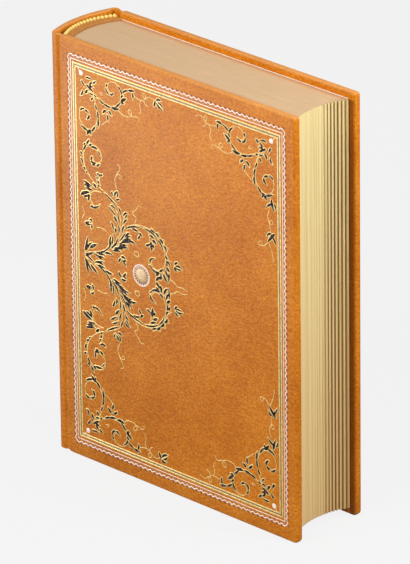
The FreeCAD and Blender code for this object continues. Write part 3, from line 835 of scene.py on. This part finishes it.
CENTRE_STROKES = [
    (33, 32.6, 35.8, 30.8, 38.6, 28.9, 1), (34.4, 33.9, 36.8, 33.5, 38.8, 31.5, 1.1),
    (30, 39.6, 35, 37, 39.4, 34.4, 0.9), (40.6, 34.4, 41.6, 32.5, 42, 30.4, 1),
    (39.6, 31, 40.6, 28.1, 41.2, 26, 0.9), (36.8, 28.2, 38.2, 26.8, 40, 24.6, 1.5),
    (34.8, 24.3, 36, 22.6, 36.6, 20.2, 1.2), (37.4, 21.9, 38.2, 20.4, 38, 18.6, 1.2),
    (44, 30, 45.4, 32.2, 47.8, 32.6, 1.1), (44.8, 28.8, 46, 30.6, 47.2, 32, 0.9),
    (43.8, 25.8, 45.2, 27.7, 46.8, 29.2, 1.1), (43, 20.6, 43.4, 22.8, 44.4, 25, 1.3),
    (40.2, 24.6, 40.7, 21.8, 40.6, 19, 0.9), (45, 22.9, 50, 26, 58.6, 27.4, 1),
    (41, 15.2, 43.2, 17.9, 46, 21.8, 0.9), (44.8, 18.2, 46.4, 20.2, 48.2, 22.2, 1.2),
    (46, 18.6, 47.6, 19.6, 49.6, 20.6, 0.8), (42.6, 15.1, 45.6, 17.4, 49.6, 18.8, 1.2),
    (45.4, 16.4, 49.2, 17.5, 53, 16.5, 1.4), (40.2, 12.7, 44.6, 15.7, 50, 16, 1),
    (39.8, 11, 42.9, 13.3, 46.8, 14.3, 1.2), (40.8, 10.8, 44.2, 12.5, 47.6, 12.8, 1.3),
    (36.6, 9.7, 40, 10.7, 43.8, 11, 1.2), (35.6, 8.1, 38.6, 9, 42, 9.3, 1.3),
    (29.6, 4.9, 32.6, 5.7, 35.6, 5.6, 1.3), (33.6, 9.8, 33.8, 13.1, 34.6, 16.4, 1.4),
    (35.6, 11.6, 35.8, 14.4, 36.2, 17.8, 0.9), (37.4, 11.2, 38.8, 13.9, 39.6, 17, 1),
    (30, 6.4, 33.2, 9.4, 35, 13.4, 1), (23, 3.4, 27.7, 4.8, 31.8, 8, 1.1),
    (34.6, 9, 36.6, 11.2, 38.2, 13.6, 0.9), (15, 2, 16.3, 6, 17.2, 11, 1.6),
    (16, 2.2, 17.9, 6, 20.6, 8.4, 1.2), (18.8, 4.6, 21.2, 6.6, 24.2, 8.3, 1.8),
    (15, 0.4, 18.2, 1, 22, 3.4, 1.2), (21.8, 2.7, 25, 1.5, 29, 0.3, 1.1),
    (25, 3, 27.6, 3.5, 30.4, 3.8, 0.9), (24.6, 1.8, 27, 1.9, 29.2, 2.4, 1),
    (14.6, 42.2, 17.4, 41.6, 21.6, 40.6, 1.2), (15.4, 40.5, 17.8, 40.1, 20.8, 40, 1.4),
    (16, 38.9, 19, 38.5, 22, 38.6, 1.2), (12.6, 33.4, 15.4, 35.4, 19.5, 36.8, 2),
    (14.6, 33.4, 16.8, 33.8, 19.2, 35.8, 1.2), (17.9, 31.4, 18.6, 33.2, 19.4, 35.4, 1.3),
    (20, 29.8, 23, 28.9, 27, 31.8, 1.2), (19.9, 28.2, 20.4, 28.8, 21, 29.6, 0.9),
    (22, 42.8, 23.4, 41.6, 24.6, 40.4, 1.6), (36, 42, 35.9, 40.8, 36.6, 39.4, 1),
    (37.4, 39.8, 38.4, 41.5, 40.1, 43.4, 1.3), (39.6, 39.6, 40.2, 41.4, 40.4, 43.2, 0.9),
    (38.7, 38.1, 40.1, 38.5, 41.7, 39.3, 1.2), (15.4, 18.4, 17.2, 18.9, 19, 19.8, 1.2),
    (15.6, 18.2, 17.8, 17.8, 20, 18.9, 1), (18.8, 21, 20.2, 21.2, 20.9, 19.8, 1.1),
    (19.9, 16, 20.6, 17.6, 20.4, 19, 1.2), (41.8, 6.1, 43.5, 6.6, 45.5, 5.9, 1.4),
    (40, 2.6, 40.7, 4.3, 42.2, 5.5, 1.2), (45.5, 2, 43.9, 3.7, 42.6, 5.1, 1.3),
    (43.6, 4.6, 44.8, 4.9, 45.8, 5.4, 0.9), (50, 24.7, 52.7, 24.9, 55.4, 24, 1.2),
    (55.2, 24, 56.5, 23.4, 57.8, 22.4, 1.3), (54.6, 19.9, 55.3, 21.4, 56.4, 22.8, 1.1),
    (58.4, 27.5, 64.4, 26.9, 69, 24.2, 0.9), (68.8, 24.4, 71.4, 22.2, 73, 19, 0.9),
    (63.8, 28.6, 65.4, 27.9, 67.6, 27.3, 1.1), (67.4, 27.3, 68.9, 26.9, 70.4, 25.2, 1.4),
    (70.4, 25, 72, 24, 72.8, 22.4, 1.5), (73, 22, 74.8, 20.8, 75, 18.6, 1.5),
    (74.4, 17.2, 75.1, 15.8, 76.4, 14.8, 1.2), (75.8, 14, 76.9, 13, 77.5, 11.4, 1.3),
    (75, 14.6, 75.6, 12.4, 75.4, 10.4, 1), (75, 10.2, 76.3, 9.2, 77.6, 8.1, 1.8),
    (74.6, 8.6, 75.2, 6.6, 76.8, 4.3, 1.4), (76.9, 7.4, 77, 5, 76.4, 1.6, 1.1),
    (73, 6.2, 74, 3.5, 76.2, 1.7, 1.5), (67.3, 3.1, 68.6, 4.4, 70.4, 5.2, 1.4),
    (67.3, 0.3, 68.9, 2, 71, 3.6, 1.7), (70.6, 1.6, 71.2, 3.6, 70.8, 5.8, 1.4),
    (69.8, 6.3, 71.4, 7.2, 72.8, 8.6, 1.2), (70, 6, 66.8, 5.2, 63.2, 7.3, 1.3),
    (62.4, 7.9, 63.4, 7.3, 64.4, 7, 0.9), (63.4, 8.8, 63.6, 11.2, 66.7, 12.8, 1.2),
    (63, 25.2, 64.8, 24.6, 66.8, 23.8, 1.3), (65, 22.8, 66.4, 22.3, 68.2, 21.2, 1.8),
    (60.1, 18.4, 61.7, 18.8, 63.4, 20.2, 1.3), (63.8, 21.6, 64.4, 19, 64.4, 16, 2),
    (65.4, 20.2, 65.9, 19.4, 66.2, 18.2, 1.2), (81.2, 13.4, 82.2, 14.7, 83.8, 15.3, 1.2),
    (81.6, 12.3, 84, 13.4, 86.8, 12.4, 1.1), (81.6, 11.9, 84, 11.5, 86.6, 12.1, 0.9),
    (80.8, 12.2, 81.6, 10.8, 83, 9.9, 1.2), (15.3, 59.6, 16.3, 61.4, 17.8, 63.6, 1.2),
    (17.6, 64, 18.7, 65.2, 19.8, 67, 1.4), (19.8, 63.2, 20.6, 64, 21.6, 65, 1.3),
    (21, 62.9, 23.5, 63.4, 26, 62.7, 1.3), (25.6, 62, 27, 61, 27.9, 59.6, 0.7),
    (15.6, 62.6, 16.2, 63.4, 17, 64.4, 0.9), (13, 58.4, 13.7, 57.7, 14.7, 57, 1.4),
    (13.3, 54.9, 14.2, 53.5, 14.7, 51.6, 1.2), (14.9, 50.1, 15.9, 49.5, 16.9, 48.7, 1.2),
    (16.7, 48.2, 17.4, 47.6, 18.2, 47, 0.8), (22, 58, 21.3, 56.6, 21.3, 54.8, 1.2),
    (20.6, 55, 22.4, 54.4, 24.8, 54.8, 1.2), (21.5, 53.3, 22.8, 53.2, 23.8, 53.9, 1),
    (24.6, 53.1, 26, 54, 27.5, 55.3, 1.1), (24.9, 49.2, 26.2, 49, 27, 48, 1.1),
    (26.9, 48, 28, 48.9, 29.3, 49.2, 1.2), (24.6, 47.2, 25.2, 46.6, 26, 46, 1.1),
    (25.2, 45.4, 25.8, 44.5, 26.7, 43.4, 1.2), (25.6, 43, 26.2, 42.4, 26.8, 41.6, 1.1),
]


def at_corner(side, end):
    """From distances off the side edge and the head or tail edge to a place on the cover."""
    return lambda p: Vector((p[0] if side < 0 else TOOLED_WIDTH - p[0],
                             p[1] if end < 0 else COVER_HEIGHT - p[1]))


def at_centre(way):
    return lambda p: Vector((p[0], MIDDLE + way * p[1]))


def repeated(stems, tendrils, strokes, put):
    return ([[put(p) for p in route] for route in stems], [[put(p) for p in route] for route in tendrils],
            [(put(s[0:2]), put(s[2:4]), put(s[4:6]), s[6]) for s in strokes])


def drawing():
    """The whole design: the same scrolls at both ends, and at both sides in the corners."""
    parts = []
    for end in (-1, 1):
        parts.append(repeated(CENTRE_STEMS, CENTRE_TENDRILS, CENTRE_STROKES, at_centre(end)))
        parts.append(repeated([], [], HEAD_STROKES, at_corner(-1, end)))
        parts.append(repeated(FORE_EDGE_STEMS, FORE_EDGE_TENDRILS, FORE_EDGE_STROKES, at_corner(1, end)))
        for side in (-1, 1):
            parts.append(repeated(CORNER_STEMS, CORNER_TENDRILS, CORNER_STROKES, at_corner(side, end)))
    return [sum(group, []) for group in zip(*parts)]


def on_cover(spot, lift=0.0):
    return at(spot.x, -FACE - lift, spot.y)


def drawn_line(name, route, width, lift, taper=0.5, closed=False):
    """A smooth line of foil through some places on the cover, flattened on the leather."""
    rest()
    bpy.ops.curve.primitive_bezier_curve_add()
    curve = bpy.context.object
    spline = curve.data.splines[0]
    spline.bezier_points.add(len(route) - 2)
    spline.use_cyclic_u = closed
    curve.data.dimensions = "3D"
    curve.data.resolution_u = 5
    curve.data.bevel_depth = width / 2 * MM
    curve.data.bevel_resolution = 1
    curve.data.use_fill_caps = True
    for i, (point, spot) in enumerate(zip(spline.bezier_points, route)):
        point.handle_left_type = point.handle_right_type = "AUTO"
        point.co = on_cover(spot)
        point.radius = 1 - taper * i / (len(route) - 1)
    bpy.ops.object.convert(target="MESH")
    piece = named(name)
    for vertex in piece.data.vertices:
        vertex.co.y = -FACE * MM + (vertex.co.y + FACE * MM) * 0.3 - lift * MM
    return piece


STEM_WIDTH = 0.8
TENDRIL_WIDTH = 0.6
GOLD_RIM = 0.5
LEAF_HEIGHT = 0.2
BLADE_LENGTH = 8.0
BLADE = [(0.12, 0.62), (0.36, 1.0), (0.66, 0.9), (0.86, 0.5), (1.0, 0.08)]


def blade(name):
    """One flat stroke lying along x, drawn out from its start, wide in the middle and narrow at its tip."""
    rest()
    bpy.ops.mesh.primitive_plane_add(size=1, rotation=UPRIGHT)
    piece = named(name)
    before, width = BLADE[0][0] * BLADE_LENGTH, BLADE[0][1]
    for vertex in piece.data.vertices:
        side = 1 if vertex.co.z > 0 else -1
        vertex.co = Vector((before, 0, width * side)) if vertex.co.x > 0 else Vector((0, 0, 0.12 * side))
    pick(piece, "EDGE", lambda e: all(v.co.x > before - 1e-4 for v in e.verts))
    for u, w in BLADE[1:]:
        here = u * BLADE_LENGTH
        bpy.ops.mesh.extrude_region_move(TRANSFORM_OT_translate={"value": (here - before, 0, 0)})
        bpy.ops.transform.resize(value=(1, 1, w / width), center_override=(here, 0, 0))
        before, width = here, w
    bpy.ops.object.mode_set(mode="OBJECT")
    return raised(piece, 0.22, 0.06)


def raised(piece, thickness, depth):
    """Draw the middle of a flat shape up from its rim, so that the rim slopes down to the leather."""
    take(piece)
    bpy.ops.object.mode_set(mode="EDIT")
    bpy.ops.mesh.select_all(action="SELECT")
    bpy.ops.mesh.normals_make_consistent(inside=False)
    bpy.ops.mesh.inset(thickness=thickness, depth=0, use_even_offset=False)
    bpy.ops.transform.translate(value=(0, -depth, 0))
    bpy.ops.object.mode_set(mode="OBJECT")
    return piece


def set_strokes(name, places, grow, low, high):
    """Copies of one blade, each bent through its start, middle and tip, and grown all round for a rim."""
    unit = blade("blade")
    copies = []
    for start, middle, tip, width in places:
        pull = middle * 2 - (start + tip) / 2
        reach = (tip - start).length
        twin = another(unit)
        for vertex in twin.data.vertices:
            u = (vertex.co.x / BLADE_LENGTH * (reach + 2 * grow) - grow) / reach
            along = ((pull - start) * (1 - u) + (tip - pull) * u).normalized()
            spot = start * (1 - u) ** 2 + pull * 2 * u * (1 - u) + tip * u ** 2
            spot += Vector((-along.y, along.x)) * vertex.co.z * (width / 2 + grow)
            vertex.co = on_cover(spot, low if vertex.co.y > -0.01 else high)
        copies.append(twin)
    bpy.data.objects.remove(unit)
    return join(name, copies)


def ornament():
    stems, tendrils, strokes = drawing()
    gold = [drawn_line("stem", route, STEM_WIDTH, 0.02) for route in stems]
    gold.append(set_strokes("strokes", strokes, GOLD_RIM, 0.0, 0.06))
    coat(join("gilt_outlines", gold), "gold_foil", "front_cover", ["scroll_leaves"])
    fuller = [(*spots, width * 0.9 + 0.3) for *spots, width in strokes]
    dark = set_strokes("dark_scrolls", fuller, 0.0, 0.05, LEAF_HEIGHT)
    coat(dark, "dark_foil", "front_cover", ["scroll_stems"])
    lines = [drawn_line("tendril", route, TENDRIL_WIDTH, 0.02, 0.3) for route in tendrils]
    coat(join("gilt_tendrils", lines), "gold_foil", "front_cover", ["scroll_tendrils"])


BORDER_INSET = (5.9, 8.8)
TOOTH_PITCH = 3.4
TOOTH_DEPTH = 0.85
STUD_INSET = (14.6, 17.0)
STUD_TAIL = (11.6, 14.4)
STUD_RADIUS = 1.45
ROSETTE_X = 56.6
ROSETTE_RADIUS = 6.3
ROSETTE_FIELD = 5.2
PETALS = 20


def border_run(inset_side, inset_end, pitch):
    """Evenly spaced places round the cover, with the way outward at each."""
    low = Vector((inset_side, inset_end))
    high = Vector((TOOLED_WIDTH - inset_side, COVER_HEIGHT - inset_end))
    corners = [low, Vector((high.x, low.y)), high, Vector((low.x, high.y))]
    ways = [Vector((0, -1)), Vector((1, 0)), Vector((0, 1)), Vector((-1, 0))]
    spots = []
    for i, way in enumerate(ways):
        a, b = corners[i], corners[(i + 1) % 4]
        along, length = (b - a).normalized(), (b - a).length
        count = round(length / pitch)
        spots += [(a.lerp(b, k / count), way, along, length / count) for k in range(count)]
    return spots


def border():
    """The white wavy line round the cover, with a painted shadow as a dark brown notch outside each tooth and
    a painted shadow as a grey dash inside.
    """
    run = border_run(*BORDER_INSET, TOOTH_PITCH)
    route = []
    for spot, way, along, step in run:
        route.append(spot)
        route.append(spot + along * step * 0.5 + way * TOOTH_DEPTH)
    wave = drawn_line("white_wave", route, 0.68, 0.02, 0.0, closed=True)
    coat(wave, "silver_foil", "front_cover", ["toothed_border"])
    # painted shadows: dark brown notches outside the teeth and grey dashes in the hollows inside them
    for name, finish, offset, shift, length, width in (
            ("painted_tooth_shadows", tooth_shadow_and_petal_brown, 1.35, 0.0, 1.5, 1.0), ("painted_hollow_shadows", hollow_shadow_grey, -0.65, 0.5, 1.4, 0.6)):
        rest()
        bpy.ops.mesh.primitive_circle_add(vertices=10, radius=0.5, fill_type="NGON", rotation=UPRIGHT)
        dot = named("dot")
        raised(dot, 0.18, 0.04)
        copies = []
        for spot, way, along, step in run:
            centre = spot + along * step * shift + way * offset
            twin = another(dot)
            for vertex in twin.data.vertices:
                place = centre + along * vertex.co.x * length + way * vertex.co.z * width
                vertex.co = on_cover(place, 0.02 - vertex.co.y)
            copies.append(twin)
        bpy.data.objects.remove(dot)
        coat(join(name, copies), "dark_foil", "front_cover", finish=finish)


def stepped_disc(name, centre, radius, lift, sides, steps):
    """A round plate on the cover, inset again and again from its rim: each step a width and a height."""
    rest()
    bpy.ops.mesh.primitive_circle_add(vertices=sides, radius=radius * MM, fill_type="NGON", rotation=UPRIGHT,
                                      location=on_cover(centre, lift))
    disc = named(name)
    bpy.ops.object.mode_set(mode="EDIT")
    bpy.ops.mesh.select_all(action="SELECT")
    for width, height in steps:
        bpy.ops.mesh.inset(thickness=width * MM, depth=height * MM)
    rest()
    return disc


def studs():
    """White studs inside the border's corners, each with a small tail towards the corner."""
    made = []
    for side in (-1, 1):
        for end in (-1, 1):
            put = at_corner(side, end)
            centre = put(STUD_INSET)
            button = [(0.25, 0.1), (0.35, 0.06), (0.4, 0.02)]
            stud = stepped_disc("stud", centre, STUD_RADIUS, 0.02, 20, button)
            away = (put(STUD_TAIL) - centre).normalized()
            spot = on_cover(centre + away * 1.4, 0.02)
            pick(stud, "EDGE", lambda e: len(e.link_faces) == 1
                 and ((e.verts[0].co + e.verts[1].co) / 2 - spot).length < 0.3 * MM)
            step = on_cover(centre + away) - on_cover(centre)
            bpy.ops.mesh.extrude_region_move(TRANSFORM_OT_translate={"value": step * 2.2})
            end_spot = on_cover(centre + away * 3.6, 0.02)
            bpy.ops.transform.resize(value=(0.3, 1, 0.3), center_override=end_spot)
            rest()
            made.append(stud)
    return coat(join("white_studs", made), "silver_foil", "front_cover", ["corner_studs"])


def rosette():
    """The round medallion: a pearl rim, a ring of small dark petals, and a plain domed middle."""
    centre = Vector((ROSETTE_X, MIDDLE))
    rim_and_dome = [(0.15, 0.16), (0.5, 0.02), (0.15, -0.1), (1.6, 0.0), (0.15, 0.06), (1.5, 0.06),
                    (1.2, 0.02)]
    disc = stepped_disc("rosette_disc", centre, ROSETTE_RADIUS, 0.01, 64, rim_and_dome)
    smooth(disc)
    coat(disc, "silver_foil", "front_cover", ["rosette"], rose)
    places = []
    for i in range(PETALS):
        turn = math.tau * i / PETALS
        ray = Vector((math.cos(turn), math.sin(turn)))
        places.append((centre + ray * 3.6, centre + ray * 4.5, centre + ray * 5.4, 0.8))
    coat(set_strokes("rosette_petals", places, 0.0, 0.1, 0.26), "dark_foil", "front_cover", finish=tooth_shadow_and_petal_brown)
    low_dome = [(0.15, 0.06), (1.9, 0.02), (0.12, 0.08), (1.2, 0.08)]
    field = stepped_disc("rosette_field", centre, ROSETTE_FIELD, 0.1, 48, low_dome)
    smooth(field)
    coat(field, "gold_foil", "front_cover", finish=fawn)


# Make the book

def build():
    for side, which in ((-1, "front"), (1, "back")):
        body = which + "_cover"
        coat(case_side(which + "_case", side), "cover_leather", body, [which + "_cover_leather"])
        skin = coat(spine_side(which + "_spine", side), "cover_leather", nodes=["spine_leather"])
        at(BOARD_START - JOINT_WIDTH, 0, 0)
        at(BOARD_START, 0, 0)
        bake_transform(skin)
        paper = coat(endpapers(which + "_endpapers", side), "endpaper",
                     nodes=[which + "_pastedown", which + "_flyleaf"])
        at(0, side * (BLOCK_FACE + 0.2), 0)
        at(0, side * (LINING_FACE - 0.2), 0)
        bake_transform(paper)
    coat(spine_card(), "card", "book_block", ["spine_stiffener"])
    coat(page_block(), "page_paper", "book_block", ["text_block"])
    for name, level, way in (("head", COVER_HEIGHT - SQUARE, 1), ("tail", SQUARE, -1)):
        coat(band(name + "_band_silk", level, way), "headband_thread", "book_block", [name + "_band"])
        coat(band_tape_piece(name + "_band_tape", level, way), "headband_thread", "book_block", finish=tape)
    for name, node, inset_side, inset_end, width, slot in (
            ("outer_gold_line", "outer_fillet", 8.2, 12.0, 0.9, "gold_foil"),
            ("inner_gold_line", "inner_fillet", 9.9, 13.7, 0.8, "gold_foil"),
            ("inner_white_line", "border_line", 6.8, 10.3, 0.45, "silver_foil")):
        coat(tooled_line(name, inset_side, inset_end, width), slot, "front_cover", [node])
    coat(tooled_line("olive_line", 9.1, 12.9, 0.8, 0.06), "dark_foil", "front_cover", finish=olive)
    border()
    ornament()
    studs()
    rosette()


def dress_carried_parts():
    """The parts that stay as they are, each with its finish."""
    slots = {"board": "greyboard", "board_infill": "card", "mull_flap": "hinge_cloth"}
    chosen = {which + "_" + part: slot for which in ("front", "back") for part, slot in slots.items()}
    chosen["spine_mull"] = "hinge_cloth"
    for name, slot in chosen.items():
        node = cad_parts[name]
        if not node.material_slots:
            node.data.materials.append(None)
        for held in node.material_slots:
            held.material = finishes[slot]


# Studio

def studio():
    """A pale floor, even daylight from the world, and soft lamps."""
    rest()
    bpy.ops.mesh.primitive_plane_add(size=24)
    floor = named("studio_floor")
    f = Finish("studio floor")
    tint = f.noise(0.6, 1.0, 0.4)
    paint = f.ramp(tint, (0.3, colour(241, 241, 241)), (0.7, colour(243, 243, 243)))
    shade = f.ramp(tint, (0.3, colour(146, 146, 146)), (0.7, colour(152, 152, 152)))
    f.finish(Base_Color=shade, Roughness=0.9 + tint * 0.05)
    rays = f.node("ShaderNodeLightPath")
    straight, mirrored, through = (Amount(rays.outputs["Is %s Ray" % kind])
                                   for kind in ("Camera", "Glossy", "Transmission"))
    seen = straight + mirrored + through
    glow = f.node("ShaderNodeEmission", Color=paint, Strength=1.1)
    mixed = f.node("ShaderNodeMixShader")
    f.put(mixed, 0, seen.clamped() * 0.88)
    f.put(mixed, 1, f.shader.outputs[0])
    f.put(mixed, 2, glow.outputs[0])
    f.put(f.tree.nodes["Material Output"], "Surface", mixed.outputs[0])
    floor.data.materials.append(f.material)

    world = bpy.context.scene.world or bpy.data.worlds.new("studio")
    bpy.context.scene.world = world
    world.use_nodes = True
    tree = world.node_tree
    sky = tree.nodes["Background"]
    sky.inputs["Color"].default_value = (1, 1, 1, 1)
    rays = tree.nodes.new("ShaderNodeLightPath")
    seen = Amount(rays.outputs["Is Camera Ray"])
    strength = 0.37 + seen * 0.53
    tree.links.new(strength.socket, sky.inputs["Strength"])

    def lamp(name, place, target, size, power):
        bpy.ops.object.light_add(type="AREA", location=place)
        light = bpy.context.object
        light.name = name
        light.data.size = size
        light.data.energy = power
        light.rotation_euler = (Vector(target) - Vector(place)).to_track_quat("-Z", "Y").to_euler()
        light.visible_camera = False
        return light

    lamp("key lamp", (0.1, -0.75, 0.86), (0, 0, 0.16), 0.6, 9.6)
    lamp("side lamp", (0.5, 0.14, 0.5), (0.085, 0, 0.2), 0.16, 2.7)
    sheen = lamp("sheen lamp", (-0.36, -0.31, 0.08), (-0.078, -0.025, 0.235), 0.16, 3.4)
    sheen.visible_diffuse = False


# Where the photograph was taken from: angles in degrees, lengths in metres, the lens in millimetres
AZIMUTH = 44.30
ELEVATION = 23.88
ROLL = -0.72
DISTANCE = 3.4968
SHIFT_ACROSS = -0.00348
SHIFT_UP = -0.003216
LENS = 426.3


def camera():
    """The photograph's viewing angle, from far off with a long lens."""
    azimuth, elevation, roll = (math.radians(angle) for angle in (AZIMUTH, ELEVATION, ROLL))
    level = math.cos(elevation)
    back = Vector((math.sin(azimuth) * level, -math.cos(azimuth) * level, math.sin(elevation)))
    right = Vector((math.cos(azimuth), math.sin(azimuth), 0))
    up = back.cross(right)
    across = right * math.cos(roll) + up * math.sin(roll)
    upward = up * math.cos(roll) - right * math.sin(roll)
    target = Vector((5.45, 0, 120)) * MM
    place = target + back * DISTANCE + across * SHIFT_ACROSS + upward * SHIFT_UP
    bpy.ops.object.camera_add(location=place)
    eye = bpy.context.object
    eye.matrix_world = Matrix.Translation(place) @ Matrix((across, upward, back)).transposed().to_4x4()
    eye.data.sensor_width = 36
    eye.data.lens = LENS
    eye.data.clip_end = 100
    bpy.context.scene.camera = eye


build()
dress_carried_parts()
studio()
camera()
bpy.context.scene.view_settings.view_transform = "Standard"
